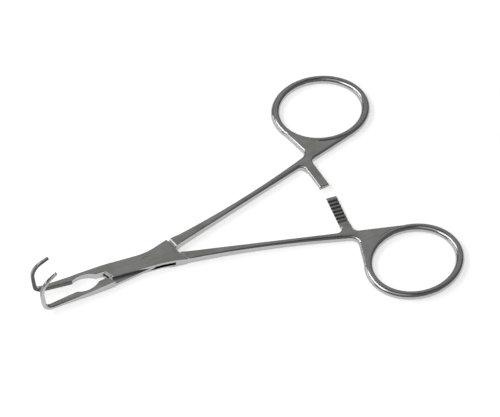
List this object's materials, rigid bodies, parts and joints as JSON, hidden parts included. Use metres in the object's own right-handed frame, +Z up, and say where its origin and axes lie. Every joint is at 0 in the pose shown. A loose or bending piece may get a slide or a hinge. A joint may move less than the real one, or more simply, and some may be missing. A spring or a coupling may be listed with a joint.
{
  "type": "vascular clamp",
  "caption": "Ring-handled vascular clamp with a box lock, a toothed ratchet and slim jaws that end in upturned C-shaped hooks.",
  "frame": {"origin": "on the pivot axis of the box lock, at the flat underside of the lock", "axes": "+X along the clamp towards the finger rings, +Y to the side of the shank that comes from the tongue, +Z up, with the pivot axis and the hooks; the clamp lies flat"},
  "size_m": [0.1217, 0.0896, 0.0162],
  "materials": {
    "satin_steel": "bead-blasted satin, polished round the rings and along the edges",
    "pin_steel": "ground flush and blasted with the lock"
  },
  "bodies": {
    "box_body": {"box_half": "satin_steel", "lock_pin": "pin_steel"},
    "tongue_body": {"tongue_half": "satin_steel"}
  },
  "joints": [
    {"name": "box_lock", "type": "hinge", "parent": "box_body", "child": "tongue_body", "pos_m": [0, 0, 0.0015], "axis": [0, 0, 1], "range_deg": [-10, 35]}
  ]
}
